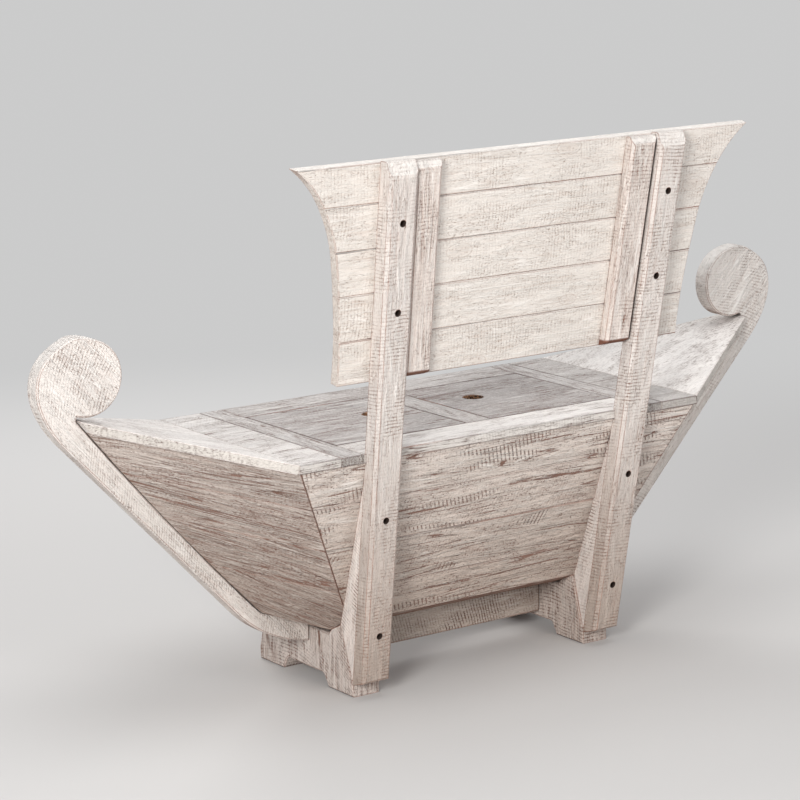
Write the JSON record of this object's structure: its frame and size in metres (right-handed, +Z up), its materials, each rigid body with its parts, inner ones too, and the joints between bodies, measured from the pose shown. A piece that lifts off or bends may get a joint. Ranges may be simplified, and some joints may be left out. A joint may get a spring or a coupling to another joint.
{
  "type": "wooden bench",
  "caption": "Boat-shaped plank storage bench with lift-out seat lids, rising scrolled stems, and a leaning plank backrest on splayed posts.",
  "frame": {"origin": "on the floor under the middle of the whole bench", "axes": "+X to the sitter's left along the bench, +Y to the rear, where the backrest is, +Z up"},
  "size_m": [1.6738, 0.5944, 0.9992],
  "materials": {
    "backrest_wood": "rough-sawn planks, whitewashed and rubbed back",
    "post_wood": "rough-sawn posts, whitewashed, arrises worn to reddish wood",
    "deck_wood": "whitewashed boards, rubbed back",
    "hull_wood": "coarse weathered planks under thin whitewash",
    "frame_wood": "thick rough-sawn boards, whitewashed, worn arrises",
    "inner_wood": "bare sawn wood",
    "screw_steel": "dark oxidised steel"
  },
  "bodies": {
    "bench": {"back_batten_left": "post_wood", "back_batten_right": "post_wood", "back_plank_1": "backrest_wood", "back_plank_2": "backrest_wood", "back_plank_3": "backrest_wood", "back_plank_4": "backrest_wood", "back_plank_5": "backrest_wood", "backrest_screws": "screw_steel", "bottom_board": "inner_wood", "deck_centre_bar": "deck_wood", "deck_cross_rail_left": "deck_wood", "deck_cross_rail_right": "deck_wood", "deck_end_board_left": "deck_wood", "deck_end_board_right": "deck_wood", "deck_rail_front": "deck_wood", "deck_rail_rear": "deck_wood", "deck_ramp_left": "deck_wood", "deck_ramp_right": "deck_wood", "end_block_left": "inner_wood", "end_block_right": "inner_wood", "end_plank_front_left_1": "hull_wood", "end_plank_front_left_2": "hull_wood", "end_plank_front_left_3": "hull_wood", "end_plank_front_left_4": "hull_wood", "end_plank_front_right_1": "hull_wood", "end_plank_front_right_2": "hull_wood", "end_plank_front_right_3": "hull_wood", "end_plank_front_right_4": "hull_wood", "end_plank_rear_left_1": "hull_wood", "end_plank_rear_left_2": "hull_wood", "end_plank_rear_left_3": "hull_wood", "end_plank_rear_left_4": "hull_wood", "end_plank_rear_right_1": "hull_wood", "end_plank_rear_right_2": "hull_wood", "end_plank_rear_right_3": "hull_wood", "end_plank_rear_right_4": "hull_wood", "frame_screws": "screw_steel", "keel_beam": "frame_wood", "leg_board_left": "frame_wood", "leg_board_right": "frame_wood", "lid_ledger_front": "inner_wood", "lid_ledger_rear": "inner_wood", "post_left": "post_wood", "post_right": "post_wood", "post_wedge_left": "post_wood", "post_wedge_right": "post_wood", "rib_left": "inner_wood", "rib_right": "inner_wood", "side_plank_front_1": "hull_wood", "side_plank_front_2": "hull_wood", "side_plank_front_3": "hull_wood", "side_plank_front_4": "hull_wood", "side_plank_rear_1": "hull_wood", "side_plank_rear_2": "hull_wood", "side_plank_rear_3": "hull_wood", "side_plank_rear_4": "hull_wood", "stem_left": "frame_wood", "stem_right": "frame_wood"},
    "left_lid": {"lid_left": "deck_wood"},
    "right_lid": {"lid_right": "deck_wood"}
  },
  "joints": [
    {"name": "left_lid_lift", "type": "slide", "parent": "bench", "child": "left_lid", "axis": [0, 0, 1], "range_m": [0, 0.25]},
    {"name": "right_lid_lift", "type": "slide", "parent": "bench", "child": "right_lid", "axis": [0, 0, 1], "range_m": [0, 0.25]}
  ]
}
